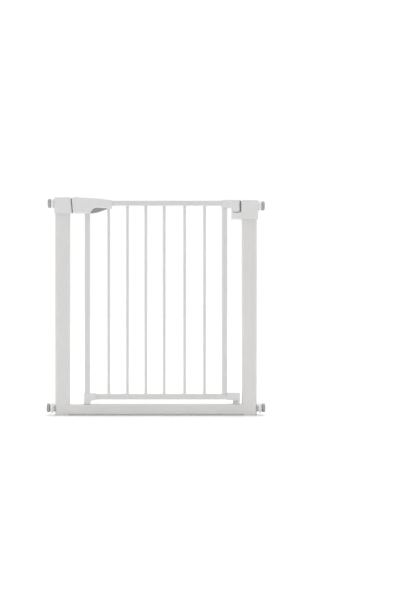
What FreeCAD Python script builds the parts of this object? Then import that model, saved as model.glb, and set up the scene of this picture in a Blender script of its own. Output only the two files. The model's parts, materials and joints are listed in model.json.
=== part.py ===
import FreeCAD, Part
import math
import os

V = FreeCAD.Vector
os.makedirs("parts", exist_ok=True)

# ---------------------------------------------------------------- dimensions
# Millimetres. +X to the right seen from the room side, +Y away from the room
# side, +Z up. The origin is on the floor under the middle of the gate. Heights
# below are measured from the underside of the bottom bar; each part is raised by
# FOOT_H as it is saved, so that the feet stand on Z = 0.

# U-shaped pressure frame
FRAME_HALF_W = 358.5      # centre to the outer face of a column
COLUMN_W = 53.5           # column width along X
COLUMN_D = 24.0           # column depth along Y
COLUMN_R = 10.0           # corner radius of the flat-oval column tube
COLUMN_T = 1.2            # column wall
COLUMN_Z0 = 0.0           # column's lower end, above the foot plug's flange
FOOT_H = 3.5              # thickness of that flange
LEFT_COLUMN_TOP = 735.0
RIGHT_COLUMN_TOP = 718.0
BAR_H = 36.0              # height of the bottom bar's (threshold's) top face
BAR_Z0 = 0.0              # its underside; the feet hold it off the floor
BAR_D = 24.0
BAR_R = 5.0
BAR_T = 1.2

# gate leaf
RAIL_W = 18.0             # square tube of the leaf
RAIL_R = 2.5
RAIL_T = 1.0
POST_X = 243.6            # centre of each end post
TOP_RAIL_Z = (740.0, 758.0)
BOTTOM_RAIL_Z = (52.0, 72.0)
BOTTOM_RAIL_X1 = 272.0
ROD_R = 5.0              # upright infill bars
ROD_T = 0.8
ROD_X = (-168.1, -101.4, -36.1, 29.2, 101.8, 172.6)

# hinge
AXIS_X = 285.0
PIN_R = 4.0
DOME_R = 24.2
DOME_Z = 737.7            # centre of the hinge knuckle's dome
DISH_GAP = 1.2
KNUCKLE_X1 = 298.6        # right-hand side of the knuckle
SWING_R = 16.35           # clear of its corners as it turns
LIFT = 12.0               # the leaf lifts this far out of its catches

# latch
BUTTON_TRAVEL = 8.0
GUIDE_Z = (738.0, 752.0)
BOLT_X0 = -303.6
BOLT_X1 = -272.0
BOLT_Z = (741.0, 749.0)
BOLT_HY = 4.0

# casings
CASE_HY = 17.0
CASE_T = 2.5
CASE_FILLET = 3.5
LEFT_CASE_Z = (713.2, 769.5)
RIGHT_CASE_X = (301.6, 361.6)
RIGHT_CASE_Z = (692.0, 759.8)
HANDLE_HY = 19.0
SPLIT = 0.10              # half the parting line between two moulded shells

# pressure spindles
SPINDLE_R = 4.9
SLEEVE_R = 7.5
SLEEVE_BORE = 4.98
NUT_R = 18.0
NUT_W = 12.2
PAD_R = 16.3
PAD_T = 10.5
UPPER_LEFT_Z, UPPER_RIGHT_Z, LOWER_Z = 749.0, 740.0, 22.0
PAD_FACE = {"upper_left": -383.2, "upper_right": 384.9, "lower_left": -387.0, "lower_right": 387.0}


# ------------------------------------------------------------------- helpers
def box(x0, x1, y0, y1, z0, z1):
    return Part.makeBox(x1 - x0, y1 - y0, z1 - z0, V(x0, y0, z0))


def cyl(r, p, d, length):
    return Part.makeCylinder(r, length, V(*p), V(*d))


def face_of(points, plane):
    """A face from 2-D corner points, each (u, v) or (u, v, radius)."""
    def to3(u, v):
        return {"xy": V(u, v, 0), "xz": V(u, 0, v), "yz": V(0, u, v)}[plane]

    n = len(points)
    ends = []
    for i, p in enumerate(points):
        u, v = p[0], p[1]
        r = p[2] if len(p) > 2 else 0
        if r <= 0:
            ends.append((to3(u, v), None, to3(u, v)))
            continue
        a, b = points[i - 1], points[(i + 1) % n]
        d1 = FreeCAD.Vector(a[0] - u, a[1] - v, 0).normalize()
        d2 = FreeCAD.Vector(b[0] - u, b[1] - v, 0).normalize()
        ang = d1.getAngle(d2)
        t = r / math.tan(ang / 2)
        bis = (d1 + d2).normalize()
        c = r / math.sin(ang / 2)
        m = (u + bis.x * (c - r), v + bis.y * (c - r))
        ends.append((to3(u + d1.x * t, v + d1.y * t), to3(*m), to3(u + d2.x * t, v + d2.y * t)))
    edges = []
    for i in range(n):
        s, m, e = ends[i]
        if m is not None:
            edges.append(Part.Arc(s, m, e).toShape())
        nxt = ends[(i + 1) % n][0]
        if e.distanceToPoint(nxt) > 1e-6:
            edges.append(Part.LineSegment(e, nxt).toShape())
    return Part.Face(Part.Wire(edges))


def prism(points, plane, lo, hi):
    f = face_of(points, plane)
    d = {"xy": V(0, 0, 1), "xz": V(0, 1, 0), "yz": V(1, 0, 0)}[plane]
    f.translate(d * lo)
    return f.extrude(d * (hi - lo))


def rect(u0, u1, v0, v1, r=0.0):
    return [(u0, v0, r), (u1, v0, r), (u1, v1, r), (u0, v1, r)]


def tube(u0, u1, v0, v1, r, t, plane, lo, hi):
    outer = prism(rect(u0, u1, v0, v1, r), plane, lo, hi)
    inner = prism(rect(u0 + t, u1 - t, v0 + t, v1 - t, max(r - t, 0.3)), plane, lo - 1, hi + 1)
    return outer.cut(inner)


def common(a, b):
    return a.common(b)


def fuse(first, *rest):
    s = first
    for r in rest:
        s = s.fuse(r)
    return s.removeSplitter()


def front_of(s):
    return s.common(box(-900, 900, -200, -SPLIT, -100, 1000))


def rear_of(s):
    return s.common(box(-900, 900, SPLIT, 200, -100, 1000))


def round_edges(s, r, keep=None):
    """Round the chosen edges, all at once or, failing that, one after another."""
    es = [e for e in s.Edges if keep is None or keep(e)]
    for rr in (r, r * 0.75, r * 0.5):
        try:
            t = s.makeFillet(rr, es)
            if t.isValid() and t.Volume > 0:
                return t
        except Exception:
            pass
    mids = [e.valueAt((e.FirstParameter + e.LastParameter) / 2) for e in es]
    done = 0
    for m in mids:
        near = min(s.Edges, key=lambda e: e.distToShape(Part.Vertex(m))[0])
        if near.distToShape(Part.Vertex(m))[0] > 0.05:
            continue
        for rr in (r, r * 0.6):
            try:
                t = s.makeFillet(rr, [near])
                if t.isValid() and t.Volume > 0:
                    s = t
                    done += 1
                    break
            except Exception:
                pass
    print("   rounded %d of %d edges one at a time" % (done, len(mids)))
    return s


made = {}


def save(name, shape):
    solids = [s for s in shape.Solids if s.Volume > 0.05]
    if not solids:
        raise RuntimeError(name + " has no solid")
    for s in solids:
        if not s.isValid():
            s.fix(1e-4, 1e-4, 1e-4)
        if not s.isValid():
            print("INVALID", name)
    shape = solids[0] if len(solids) == 1 else Part.makeCompound(solids)
    shape = shape.translated(V(0, 0, FOOT_H))
    made[name] = shape
    shape.exportStep("parts/" + name + ".step")
    bb = shape.BoundBox
    print("%-24s solids %d vol %9.1f  x %7.1f %7.1f y %6.1f %6.1f z %6.1f %6.1f" % (
        name, len(solids), sum(s.Volume for s in solids), bb.XMin, bb.XMax, bb.YMin, bb.YMax, bb.ZMin, bb.ZMax))


# ---------------------------------------------------------------- the frame
x_in = FRAME_HALF_W - COLUMN_W


def column(side, top):
    a, b = (-FRAME_HALF_W, -x_in) if side < 0 else (x_in, FRAME_HALF_W)
    s = tube(a, b, -COLUMN_D / 2, COLUMN_D / 2, COLUMN_R, COLUMN_T, "xy", COLUMN_Z0, top)
    # hole in the outer wall for the lower spindle's sleeve
    hole = cyl(SLEEVE_R + 0.05, (side * (FRAME_HALF_W - 8), 0, LOWER_Z), (side, 0, 0), 20)
    return s.cut(hole)


save("left_column", column(-1, LEFT_COLUMN_TOP))
save("right_column", column(1, RIGHT_COLUMN_TOP))

bar = tube(-BAR_D / 2, BAR_D / 2, BAR_Z0, BAR_H, BAR_R, BAR_T, "yz", -x_in - 9, x_in + 9)
for a, b in ((-FRAME_HALF_W, -x_in), (x_in, FRAME_HALF_W)):
    bar = bar.cut(prism(rect(a, b, -COLUMN_D / 2, COLUMN_D / 2, COLUMN_R), "xy", -1, 60))
CATCH_X = (-254.0, -234.0)
CATCH_HY = 7.0
bar = bar.cut(box(CATCH_X[0], CATCH_X[1], -CATCH_HY, CATCH_HY, BAR_H - 5, BAR_H + 5))
bar = bar.cut(cyl(7.1, (AXIS_X, 0, BAR_H - 5), (0, 0, 1), 10))
save("bottom_bar", bar)


def foot_plug(a, b):
    flange = prism(rect(a, b, -COLUMN_D / 2, COLUMN_D / 2, COLUMN_R), "xy", -FOOT_H, COLUMN_Z0)
    i = COLUMN_T + 0.15
    spigot = prism(rect(a + i, b - i, -COLUMN_D / 2 + i, COLUMN_D / 2 - i, COLUMN_R - i), "xy", COLUMN_Z0, 13.5)
    hollow = prism(rect(a + i + 2, b - i - 2, -COLUMN_D / 2 + i + 2, COLUMN_D / 2 - i - 2, COLUMN_R - i - 2), "xy", COLUMN_Z0, 20)
    return fuse(flange, spigot.cut(hollow))


save("foot_plugs", Part.makeCompound([foot_plug(-FRAME_HALF_W, -x_in), foot_plug(x_in, FRAME_HALF_W)]))

# catch for the leaf's lower latch tooth, let into the bottom bar
catch = box(CATCH_X[0] + 0.1, CATCH_X[1] - 0.1, -CATCH_HY + 0.1, CATCH_HY - 0.1, 22, BAR_H + 0.4)
catch = round_edges(catch, 0.3, lambda e: e.BoundBox.ZMin > BAR_H)
catch = catch.cut(box(-251.2, -236.8, -5.2, 5.2, 25, 60))
save("bottom_catch", catch)

# socket and pin of the lower hinge
socket = cyl(7.0, (AXIS_X, 0, BAR_Z0 + BAR_T + 0.1), (0, 0, 1), BAR_H + 0.2 - BAR_Z0 - BAR_T)
socket = socket.cut(cyl(PIN_R, (AXIS_X, 0, 8), (0, 0, 1), 60))
save("lower_hinge_socket", socket)
pin = cyl(PIN_R, (AXIS_X, 0, 8), (0, 0, 1), 64)
pin = pin.makeChamfer(0.8, [e for e in pin.Edges if e.BoundBox.ZMin > 70])
save("lower_hinge_pin", pin)

# guide sleeves of the four spindles
sleeves = []
for side, z, x_out, x_end in ((-1, UPPER_LEFT_Z, 358.1, 326), (1, UPPER_RIGHT_Z, 359.6, 326),
                              (-1, LOWER_Z, 361.9, 322), (1, LOWER_Z, 361.9, 322)):
    s = cyl(SLEEVE_R, (side * x_end, 0, z), (side, 0, 0), x_out - x_end)
    if z == LOWER_Z:                       # flanged against the column
        flange = cyl(13.0, (side * (FRAME_HALF_W + 0.05), 0, z), (side, 0, 0), x_out - FRAME_HALF_W - 0.05)
        flange = flange.makeFillet(0.8, [e for e in flange.Edges if abs(abs(e.BoundBox.XMin) - x_out) < 0.01 and e.BoundBox.XLength < 1e-3])
        s = s.fuse(flange).removeSplitter()
    sleeves.append(s.cut(cyl(SLEEVE_BORE, (side * (x_end - 2), 0, z), (side, 0, 0), 60)))
save("spindle_sleeves", Part.makeCompound(sleeves))


# ---------------------------------------------------- screws through two shells
def boss_pair(x, z, hy, front_in, rear_in, r=3.5):
    """Bosses for one screw: front one from the front wall to the parting line, rear one to the rear wall."""
    return (cyl(r, (x, -front_in, z), (0, 1, 0), front_in), cyl(r, (x, 0, z), (0, 1, 0), rear_in))


def screw_cuts(x, z, hy, depth=9.0):
    """Cuts for a pan-head screw driven from the rear face at y = hy."""
    return (cyl(1.5, (x, -depth, z), (0, 1, 0), depth + 1),
            fuse(cyl(1.7, (x, -1, z), (0, 1, 0), hy + 2), cyl(3.3, (x, hy - 3.2, z), (0, 1, 0), 10)))


def screw(x, z, hy, depth=8.5):
    top = hy - 3.2
    shank = cyl(1.45, (x, -depth, z), (0, 1, 0), depth + top)
    head = cyl(3.0, (x, top + 0.05, z), (0, 1, 0), 2.0)
    head = head.makeFillet(0.8, [e for e in head.Edges if e.BoundBox.YMin > top + 1.5])
    s = shank.fuse(cyl(1.45, (x, top - 0.5, z), (0, 1, 0), 1.0)).fuse(head).removeSplitter()
    # cross recess
    for w, h in ((3.2, 0.7), (0.7, 3.2)):
        s = s.cut(box(x - w / 2, x + w / 2, top + 1.0, top + 5, z - h / 2, z + h / 2))
    return s


# ----------------------------------------------------------- latch-side casing
def case_face_x(z):
    """Right-hand face of the latch casing. It leans, so the leaf lifts away from it."""
    return -296.9 - (z - 711.0) * 4.6 / 56.0


z0, z1 = LEFT_CASE_Z
low = z0 - 6
outer = prism([(-359.9, low), (case_face_x(low), low), (case_face_x(z1), z1), (-359.9, z1)], "xz", -CASE_HY, CASE_HY)
outer = round_edges(outer, CASE_FILLET)
outer = outer.cut(box(-400, -200, -50, 50, 600, z0))
ti = CASE_T
tw = 1.3                  # the wall against the column's outer side is thinner
inner = prism([(-359.9 + tw, z0 - 20), (case_face_x(z0 - 20) - ti, z0 - 20), (case_face_x(z1 - ti) - ti, z1 - ti), (-359.9 + tw, z1 - ti)],
              "xz", -CASE_HY + ti, CASE_HY - ti)
shell = outer.cut(inner)
lip = box(-380, -290, -30, 30, z0, z0 + 3).common(outer).cut(
    prism(rect(-FRAME_HALF_W - 0.1, -x_in + 0.1, -COLUMN_D / 2 - 0.1, COLUMN_D / 2 + 0.1, COLUMN_R), "xy", 600, 800))
shell = fuse(shell, lip)
ribs = fuse(box(-350.5, -348.5, -15, 15, LEFT_COLUMN_TOP + 0.3, z1 - 1), box(-331, -329, -15, 15, LEFT_COLUMN_TOP + 0.3, z1 - 1))
shell = fuse(shell, ribs.common(inner))
shell = shell.cut(cyl(SLEEVE_R + 0.05, (-358.2, 0, UPPER_LEFT_Z), (1, 0, 0), 44))
shell = shell.cut(cyl(5.6, (-370, 0, UPPER_LEFT_Z), (1, 0, 0), 60))
left_screws = [(-340.0, 762.0), (-318.5, 739.6)]
for x, z in left_screws:
    f, r = boss_pair(x, z, CASE_HY, CASE_HY - 1, CASE_HY - 1)
    shell = fuse(shell, f, r)
# window for the strike
STRIKE_Z = (716.0, 766.0)
STRIKE_HY = 13.0
STRIKE_T = 1.6            # how far the strike's face stands out of the casing
STRIKE_DEEP = (736.0, 764.0)
shell = shell.cut(box(-304.95, -290, -STRIKE_HY - 0.05, STRIKE_HY + 0.05, STRIKE_Z[0] - 0.05, STRIKE_Z[1] + 0.05))
shell = shell.cut(box(-309.05, -290, -STRIKE_HY - 0.05, STRIKE_HY + 0.05, STRIKE_DEEP[0] - 0.05, STRIKE_DEEP[1] + 0.05))
front, rear = front_of(shell), rear_of(shell)
for x, z in left_screws:
    cf, cr = screw_cuts(x, z, CASE_HY)
    front, rear = front.cut(cf), rear.cut(cr)
save("latch_casing_front", front)
save("latch_casing_rear", rear)
save("latch_casing_screws", Part.makeCompound([screw(x, z, CASE_HY) for x, z in left_screws]))

strike = prism([(-304.9, STRIKE_Z[0]), (case_face_x(STRIKE_Z[0]) + STRIKE_T, STRIKE_Z[0]), (case_face_x(STRIKE_Z[1]) + STRIKE_T, STRIKE_Z[1]), (-304.9, STRIKE_Z[1])],
               "xz", -STRIKE_HY, STRIKE_HY)
strike = round_edges(strike, 1.0, lambda e: e.BoundBox.XMin > -304.0)
strike = fuse(strike, box(-309.0, -304.5, -STRIKE_HY, STRIKE_HY, *STRIKE_DEEP))
# the bolt's slot: tall, so that the leaf can rise with its bolt out, and shut at both sides, so that it can't swing
strike = strike.cut(box(-306.5, -290, -BOLT_HY - 0.6, BOLT_HY + 0.6, BOLT_Z[0] - 0.6, BOLT_Z[1] + LIFT + 0.8))
save("latch_strike", strike)

# ---------------------------------------------------------- hinge-side casing
xa, xb = RIGHT_CASE_X
z0, z1 = RIGHT_CASE_Z
outer = box(xa, xb, -CASE_HY, CASE_HY, z0 - 8, z1)
outer = round_edges(outer, CASE_FILLET)
outer = outer.cut(box(200, 500, -50, 50, 600, z0))
inner = box(xa + ti, xb - ti, -CASE_HY + ti, CASE_HY - ti, z0 - 20, z1 - ti)
shell = outer.cut(inner)
lip = box(xa, xb, -30, 30, z0, z0 + 3).common(outer).cut(
    prism(rect(x_in - 0.1, FRAME_HALF_W + 0.1, -COLUMN_D / 2 - 0.1, COLUMN_D / 2 + 0.1, COLUMN_R), "xy", 600, 800))
shell = fuse(shell, lip)
ribs = fuse(box(331, 333, -15, 15, RIGHT_COLUMN_TOP + 0.3, z1 - 1), box(350, 352, -15, 15, RIGHT_COLUMN_TOP + 0.3, z1 - 1))
shell = fuse(shell, ribs.common(inner))
shell = shell.cut(cyl(SLEEVE_R + 0.05, (320, 0, UPPER_RIGHT_Z), (1, 0, 0), 39.6))
shell = shell.cut(cyl(5.6, (320, 0, UPPER_RIGHT_Z), (1, 0, 0), 60))
right_screws = [(318.0, 751.5), (318.0, 726.5)]
for x, z in right_screws:
    f, r = boss_pair(x, z, CASE_HY, CASE_HY - 1, CASE_HY - 1)
    shell = fuse(shell, f, r)
LAP_X, LAP_Z = 309.5, 712.0   # the cradle's block runs under the casing's lower corner to here
shell = shell.cut(box(xa - 1, LAP_X + 0.1, -60, 60, z0 - 1, LAP_Z + 0.1))
TAB_Y = (12.3, 14.3)
TAB_TOP = 724.0
GUARD_Z = (718.3, 757.0)
shell = shell.cut(box(xa - 1, xa + ti + 0.1, -13.45, 13.45, GUARD_Z[0] - 0.05, GUARD_Z[1] + 0.05))
front, rear = front_of(shell), rear_of(shell)
for x, z in right_screws:
    cf, cr = screw_cuts(x, z, CASE_HY)
    front, rear = front.cut(cf), rear.cut(cr)
save("hinge_casing_front", front)
save("hinge_casing_rear", rear)
save("hinge_casing_screws", Part.makeCompound([screw(x, z, CASE_HY) for x, z in right_screws]))

# cradle that the leaf's knuckle turns in
CRADLE_X0, CRADLE_HY, CRADLE_TOP = 269.3, 16.4, 717.7
cradle = prism([(CRADLE_X0, -CRADLE_HY, 4.0), (LAP_X, -CRADLE_HY), (LAP_X, CRADLE_HY), (CRADLE_X0, CRADLE_HY, 4.0)], "xy", z0, CRADLE_TOP)
cradle = round_edges(cradle, 1.2, lambda e: e.BoundBox.ZMax < z0 + 0.1)
cradle = cradle.cut(box(xa - 0.1, LAP_X + 1, -60, 60, LAP_Z, 800))
cradle = cradle.cut(Part.makeSphere(DOME_R + DISH_GAP, V(AXIS_X, 0, DOME_Z)))
cradle = cradle.cut(cyl(DOME_R + 0.7, (AXIS_X, -40, DOME_Z), (0, 1, 0), 80))
cradle = cradle.cut(cyl(7.06, (AXIS_X, 0, 694.4), (0, 0, 1), 60))
cradle = cradle.cut(cyl(9.3, (AXIS_X, 0, 710.8), (0, 0, 1), 60))
cradle = cradle.cut(prism(rect(x_in - 0.1, FRAME_HALF_W, -COLUMN_D / 2 - 0.1, COLUMN_D / 2 + 0.1, COLUMN_R), "xy", 600, 800))
for s in (-1, 1):
    y0, y1 = sorted((s * TAB_Y[0], s * TAB_Y[1]))
    cradle = cradle.fuse(box(xa + ti + 0.3, LAP_X - 0.1, y0, y1, LAP_Z - 6, TAB_TOP))
save("hinge_cradle", cradle.removeSplitter())

# guard that closes the gap between the casing and the leaf's turning knuckle
guard = box(298.4, xa + ti + 0.1, -13.4, 13.4, *GUARD_Z)
guard = round_edges(guard, 0.8, lambda e: e.BoundBox.XMax < 298.5)
guard = guard.fuse(box(xa + ti + 0.1, xa + ti + 1.6, -14.3, 14.3, TAB_TOP + 0.5, GUARD_Z[1]))
guard = guard.cut(cyl(SWING_R, (AXIS_X, 0, 700), (0, 0, 1), 100)).removeSplitter()
save("hinge_guard", guard)


def d_bar(r, flat, z_lo, z_hi):
    s = cyl(r, (AXIS_X, 0, z_lo), (0, 0, 1), z_hi - z_lo)
    return s.cut(box(AXIS_X - 20, AXIS_X + 20, flat, 20, z_lo - 1, z_hi + 1))


bush = fuse(cyl(7.0, (AXIS_X, 0, 694.5), (0, 0, 1), 16.5), cyl(9.0, (AXIS_X, 0, 711.0), (0, 0, 1), 1.2))
bush = bush.cut(d_bar(PIN_R + 0.08, 2.6 + 0.08, 690, 720))
save("upper_hinge_bush", bush)

# rotating collar of the lower hinge, flat on its right-hand side
FLAT_X = 289.6
collar = cyl(11.2, (AXIS_X, 0, BAR_H + 0.5), (0, 0, 1), 13.3)
collar = collar.makeFillet(0.8, [e for e in collar.Edges if e.BoundBox.ZLength < 1e-6])
for zg in (40.4, 44.6):
    ring = cyl(14, (AXIS_X, 0, zg), (0, 0, 1), 1.3).cut(cyl(10.0, (AXIS_X, 0, zg - 1), (0, 0, 1), 4))
    collar = collar.cut(ring)
collar = collar.cut(box(FLAT_X, AXIS_X + 30, -20, 20, 30, 60))
hexagon = [(AXIS_X + 7.4 * math.cos(math.radians(60 * i + 30)), 7.4 * math.sin(math.radians(60 * i + 30))) for i in range(6)]
spigot = prism(hexagon, "xy", 49.0, 66.0).common(box(0, FLAT_X + 3.0, -20, 20, 40, 70))
collar = fuse(collar, spigot).cut(cyl(PIN_R + 0.06, (AXIS_X, 0, 30), (0, 0, 1), 60))
save("lower_hinge_bush", collar)

# ------------------------------------------------------------------- the leaf
h = RAIL_W / 2
tz0, tz1 = TOP_RAIL_Z
bz0, bz1 = BOTTOM_RAIL_Z
save("top_rail", tube(-h, h, tz0, tz1, RAIL_R, RAIL_T, "yz", -POST_X - h, POST_X + h))
save("bottom_rail", tube(-h, h, bz0, bz1, RAIL_R, RAIL_T, "yz", -POST_X - h, BOTTOM_RAIL_X1))
save("left_post", tube(-POST_X - h, -POST_X + h, -h, h, RAIL_R, RAIL_T, "xy", bz1, tz0))
save("right_post", tube(POST_X - h, POST_X + h, -h, h, RAIL_R, RAIL_T, "xy", bz1, tz0))
for i, x in enumerate(ROD_X):
    rod = cyl(ROD_R, (x, 0, bz1), (0, 0, 1), tz0 - bz1).cut(cyl(ROD_R - ROD_T, (x, 0, bz1 - 1), (0, 0, 1), tz0 - bz1 + 2))
    save("bar_%d" % (i + 1), rod)


# --- handle
def handle_face_x(z):
    return case_face_x(z) + 3.0


def spline_face(points_top, others, plane="xz"):
    """Face bounded by a smooth curve through points_top, then straight edges through others back to its start."""
    def to3(p):
        return V(p[0], 0, p[1]) if plane == "xz" else V(p[0], p[1], 0)
    c = Part.BSplineCurve()
    c.interpolate([to3(p) for p in points_top])
    edges = [c.toShape()]
    last = to3(points_top[-1])
    for p in others + [points_top[0]]:
        q = to3(p)
        edges.append(Part.LineSegment(last, q).toShape())
        last = q
    return Part.Face(Part.Wire(edges))


top_line = [(-150.0, 759.6), (-163.7, 761.2), (-199.0, 764.6), (-232.0, 767.1), (-262.0, 768.1), (handle_face_x(768.2), 768.2)]
# lower edge of each side shell, arched clear of the grip web
arch = [(-150.0, 728.6), (-176.8, 730.6), (-205.0, 732.2), (-217.0, 731.0), (-225.5, 725.0), (-231.0, 717.5), (-237.0, 712.0)]


def handle_solid(grow, z_cut=None):
    """The handle's outer form, taken in by -grow on every side."""
    g = grow
    tl = [(x, z + g) for x, z in top_line]
    tl[-1] = (handle_face_x(768.2 + g) - g, 768.2 + g)
    ar = [(x, z - g) for x, z in arch]
    c1 = Part.BSplineCurve()
    c1.interpolate([V(x, 0, z) for x, z in tl])
    c2 = Part.BSplineCurve()
    c2.interpolate([V(x, 0, z) for x, z in ar])
    zb = 712.0 - g
    lb = handle_face_x(zb) - g
    start_top = V(tl[0][0], 0, tl[0][1])
    end_top = V(tl[-1][0], 0, tl[-1][1])
    e = [c1.toShape()]
    pts = [end_top]
    pts.append(V(lb, 0, zb))
    pts.append(V(ar[-1][0], 0, ar[-1][1]))
    for a, b in zip(pts, pts[1:]):
        e.append(Part.LineSegment(a, b).toShape())
    c2.reverse()
    e.append(c2.toShape())
    e.append(Part.LineSegment(V(ar[0][0], 0, ar[0][1]), start_top).toShape())
    f = Part.Face(Part.Wire(Part.__sortEdges__(e)))
    f.translate(V(0, -60, 0))
    side = f.extrude(V(0, 120, 0))
    hy = HANDLE_HY + g
    he = 13.2 + g
    c3 = Part.BSplineCurve()
    c3.interpolate([V(-145, he - 0.4, 0), V(-165, he, 0), V(-195, (hy + he) / 2 - 0.2, 0), V(-225, hy - 0.8, 0), V(-250, hy, 0)])
    c4 = Part.BSplineCurve()
    c4.interpolate([V(-250, -hy, 0), V(-225, -hy + 0.8, 0), V(-195, -(hy + he) / 2 + 0.2, 0), V(-165, -he, 0), V(-145, -he + 0.4, 0)])
    e = [c3.toShape(), Part.LineSegment(V(-250, hy, 0), V(-320, hy, 0)).toShape(), Part.LineSegment(V(-320, hy, 0), V(-320, -hy, 0)).toShape(),
         Part.LineSegment(V(-320, -hy, 0), V(-250, -hy, 0)).toShape(), c4.toShape(),
         Part.LineSegment(V(-145, -he + 0.4, 0), V(-145, he - 0.4, 0)).toShape()]
    f2 = Part.Face(Part.Wire(Part.__sortEdges__(e)))
    f2.translate(V(0, 0, 600))
    plan = f2.extrude(V(0, 0, 300))
    return side.common(plan)


HANDLE_X1 = -157.0
outer = handle_solid(0.0)
outer = round_edges(outer, 4.0)
outer = outer.common(box(-400, HANDLE_X1, -60, 60, 600, 900))
outer = round_edges(outer, 1.2, lambda e: e.BoundBox.XMin > HANDLE_X1 - 0.5)
inner = handle_solid(-2.6).common(box(-400, HANDLE_X1 - 2.5, -60, 60, 600, 900))
shell = outer.cut(inner)
# ribs: beside the post, a stop for the spring, seats on the rail
webs = fuse(box(-255.3, -252.9, -18, 18, 714, 766), box(-234.3, -232.3, -18, 18, 714, 766),
            box(-200, -198, -18, 18, 742, 764), box(-177, -175, -18, 18, 728, 762))
shell = fuse(shell, webs.common(inner))
handle_screws = [(-265.0, 724.0), (-262.0, 757.0), (-224.0, 734.4)]
bosses = []
for x, z in handle_screws:
    f, r = boss_pair(x, z, HANDLE_HY, HANDLE_HY - 2, HANDLE_HY - 2)
    bosses += [f, r]
shell = fuse(shell, *bosses[:4])
# clearances
shell = shell.cut(box(-POST_X - h - 0.1, -100, -h - 0.1, h + 0.1, tz0 - 0.1, tz1 + 0.1))           # top rail
shell = shell.cut(box(-POST_X - h - 0.1, -POST_X + h + 0.1, -h - 0.1, h + 0.1, 700, tz0 + 1))      # post
shell = shell.cut(cyl(ROD_R + 0.15, (ROD_X[0], 0, 700), (0, 0, 1), 45))                             # first bar
# thumb button's slot, and room for its stem and the bolt
SLOT_X = (-293.2, -262.6)
shell = shell.cut(prism(rect(SLOT_X[0], SLOT_X[1], -7.0, 7.0, 2.5), "xy", 750, 790))
shell = shell.cut(box(-290.0, -270.0, -9.5, 9.5, 738.5, 765.4).common(box(-290, BOLT_X1 + BUTTON_TRAVEL + 1, -30, 30, 700, 800)))
shell = shell.cut(box(-330, -256.0, -BOLT_HY - 0.35, BOLT_HY + 0.35, BOLT_Z[0] - 0.35, BOLT_Z[1] + 0.35))
# seat of the bolt's guide
shell = shell.cut(box(-330, -287.9, -9.05, 9.05, GUIDE_Z[0] - 0.05, GUIDE_Z[1] + 0.05))
# room for the grip web
CORE_HY = 6.0
shell = shell.cut(box(-234.4, -174.0, -CORE_HY - 0.1, CORE_HY + 0.1, 700, tz0 - 0.1))
shell = fuse(shell, *bosses[4:])
front, rear = front_of(shell), rear_of(shell)
for x, z in handle_screws:
    cf, cr = screw_cuts(x, z, HANDLE_HY)
    front, rear = front.cut(cf), rear.cut(cr)
save("handle_front", front)
save("handle_rear", rear)
save("handle_screws", Part.makeCompound([screw(x, z, HANDLE_HY) for x, z in handle_screws]))

# grip web between the two shells, seen in the finger recess
web = prism([(-234.2, 739.7), (-234.2, 713.4, 1.0), (-231.0, 713.9, 1.5), (-178.5, 730.3, 6.0), (-174.2, 730.8), (-174.2, 739.7)], "xz", -CORE_HY, CORE_HY)
web = round_edges(web, 2.2, lambda e: e.BoundBox.YLength < 1e-3 and e.BoundBox.ZMax < 731.5)
web = web.cut(cyl(3.7, (handle_screws[2][0], -20, handle_screws[2][1]), (0, 1, 0), 40))
save("handle_grip_web", web)

# collar that guides the bolt, set flush in the handle's end
guide = box(-310, -288.0, -9.0, 9.0, GUIDE_Z[0], GUIDE_Z[1])
guide = guide.common(prism([(handle_face_x(700) + 0.2, 700), (-200, 700), (-200, 800), (handle_face_x(800) + 0.2, 800)], "xz", -30, 30))
guide = guide.cut(box(-330, -250, -BOLT_HY - 0.3, BOLT_HY + 0.3, BOLT_Z[0] - 0.3, BOLT_Z[1] + 0.3))
save("bolt_guide", guide)

# bolt and thumb button
bolt = box(BOLT_X0, BOLT_X1, -BOLT_HY, BOLT_HY, BOLT_Z[0], BOLT_Z[1])
bolt = round_edges(bolt, 1.0, lambda e: e.BoundBox.XMax < BOLT_X0 + 0.1)
bolt = bolt.cut(box(-285.0, -277.0, -2.6, 2.6, BOLT_Z[1] - 5, BOLT_Z[1] + 1))
save("latch_bolt", bolt)
button = prism(rect(-292.3, -271.5, -6.4, 6.4, 2.2), "xy", 766.0, 771.7)
button = round_edges(button, 1.4, lambda e: e.BoundBox.ZMin > 771.6)
for i in range(4):
    xg = -288.4 + i * 3.6
    button = button.cut(cyl(0.55, (xg, -4.6, 771.75), (0, 1, 0), 9.2))
flange = prism(rect(-289.6, -270.6, -9.0, 9.0, 1.0), "xy", 762.0, 764.6)
stem = box(-284.9, -277.1, -2.5, 2.5, BOLT_Z[1] - 4.9, 767.0)
neck = box(-289.0, -272.5, -6.0, 6.0, 764.0, 767.0)
save("thumb_button", fuse(button, flange, stem, neck))

# return spring behind the bolt
SPRING_R, WIRE_R, COILS = 2.9, 0.4, 8
x_s0, x_s1 = BOLT_X1 + 0.1 + WIRE_R, -255.4 - WIRE_R
helix = Part.makeHelix((x_s1 - x_s0) / COILS, x_s1 - x_s0, SPRING_R)
prof = Part.Wire([Part.Circle(V(SPRING_R, 0, 0), V(0, 1, 0), WIRE_R).toShape()])
spring = Part.Wire(helix.Edges).makePipeShell([prof], True, True)
spring.rotate(V(0, 0, 0), V(0, 1, 0), 90)
spring.translate(V(x_s0, 0, (BOLT_Z[0] + BOLT_Z[1]) / 2))
if not spring.Solids:
    spring = Part.makeCompound([Part.makeTorus(SPRING_R, WIRE_R, V(x_s0 + i * 2.0, 0, 745), V(1, 0, 0)) for i in range(8)])
save("button_spring", spring)

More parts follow.
